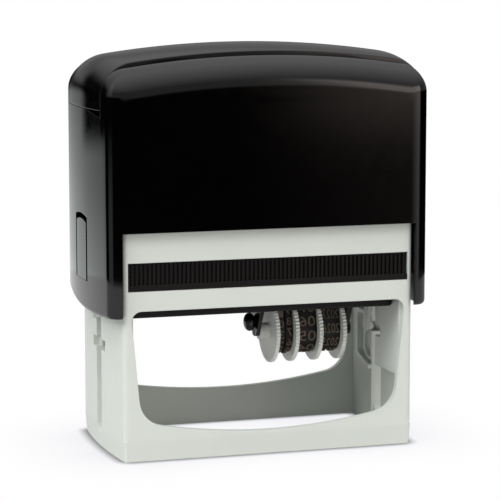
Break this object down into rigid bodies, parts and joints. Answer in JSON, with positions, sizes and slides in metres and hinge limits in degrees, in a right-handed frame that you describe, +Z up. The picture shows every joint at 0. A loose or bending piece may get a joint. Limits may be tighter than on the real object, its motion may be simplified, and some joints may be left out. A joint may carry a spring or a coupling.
{
  "type": "self-inking date stamp",
  "caption": "Self-inking date stamp: a black cover slides down over a light frame and turns the printing plate and date bands over, from the ink cassette to the paper.",
  "frame": {"origin": "centre of the stamp's outline, on the surface that it stands on", "axes": "+X along the width, to the right seen from the front; +Y from front to rear; +Z up"},
  "size_m": [0.1032, 0.054, 0.122],
  "materials": {
    "black_gloss": "gloss",
    "black_plastic": "satin",
    "silver_plastic": "satin silver-grey",
    "wheel_plastic": "satin",
    "band_rubber": "matt",
    "steel": "drawn wire",
    "felt": "ink-soaked felt",
    "foam": "closed-cell foam",
    "plate_rubber": "matt"
  },
  "bodies": {
    "frame": {"base_frame": "silver_plastic", "return_spring": "steel"},
    "cassette": {"pad_tray": "black_plastic", "ink_felt": "felt"},
    "cover": {"cover_shell": "black_gloss", "top_cap": "black_gloss", "yoke": "black_plastic", "pivot_pin_left": "black_plastic", "pivot_pin_right": "black_plastic"},
    "left_tongue": {"lock_tongue_left": "black_gloss"},
    "right_tongue": {"lock_tongue_right": "black_gloss"},
    "platen_unit": {"platen": "black_plastic", "plate_cushion": "foam", "text_plate": "plate_rubber", "cam_lever_left": "silver_plastic", "cam_lever_right": "silver_plastic", "date_bracket": "black_plastic", "wheel_axle": "steel", "day_tens_band": "band_rubber", "day_units_band": "band_rubber", "month_band": "band_rubber", "year_band": "band_rubber"},
    "day_tens": {"day_tens_wheel": "wheel_plastic"},
    "day_units": {"day_units_wheel": "wheel_plastic"},
    "month": {"month_wheel": "wheel_plastic"},
    "year": {"year_wheel": "wheel_plastic"}
  },
  "joints": [
    {"name": "cover_press", "type": "slide", "parent": "frame", "child": "cover", "axis": [0, 0, -1], "range_m": [0, 0.036], "stiffness_N_per_m": 400, "springref_m": -0.03, "deforming": ["return_spring"]},
    {"name": "platen_flip", "type": "hinge", "parent": "cover", "child": "platen_unit", "pos_m": [0, 0, 0.0432], "axis": [1, 0, 0], "range_deg": [0, 180]},
    {"name": "cassette_slide", "type": "slide", "parent": "frame", "child": "cassette", "axis": [0, 1, 0], "range_m": [-0.05, 0]},
    {"name": "left_tongue_press", "type": "hinge", "parent": "cover", "child": "left_tongue", "pos_m": [-0.0506, 0, 0.0519], "axis": [0, 1, 0], "range_deg": [0, 6], "stiffness_Nm_per_rad": 0.3},
    {"name": "right_tongue_press", "type": "hinge", "parent": "cover", "child": "right_tongue", "pos_m": [0.0506, 0, 0.0519], "axis": [0, -1, 0], "range_deg": [0, 6], "stiffness_Nm_per_rad": 0.3},
    {"name": "day_tens_turn", "type": "hinge", "parent": "platen_unit", "child": "day_tens", "pos_m": [0, 0, 0.03275], "axis": [1, 0, 0], "continuous": true},
    {"name": "day_units_turn", "type": "hinge", "parent": "platen_unit", "child": "day_units", "pos_m": [0, 0, 0.03275], "axis": [1, 0, 0], "continuous": true},
    {"name": "month_turn", "type": "hinge", "parent": "platen_unit", "child": "month", "pos_m": [0, 0, 0.03275], "axis": [1, 0, 0], "continuous": true},
    {"name": "year_turn", "type": "hinge", "parent": "platen_unit", "child": "year", "pos_m": [0, 0, 0.03275], "axis": [1, 0, 0], "continuous": true}
  ],
  "couplings": [
    {"joint": "platen_flip", "follows": "cover_press", "rad_per_m": 87.266}
  ]
}
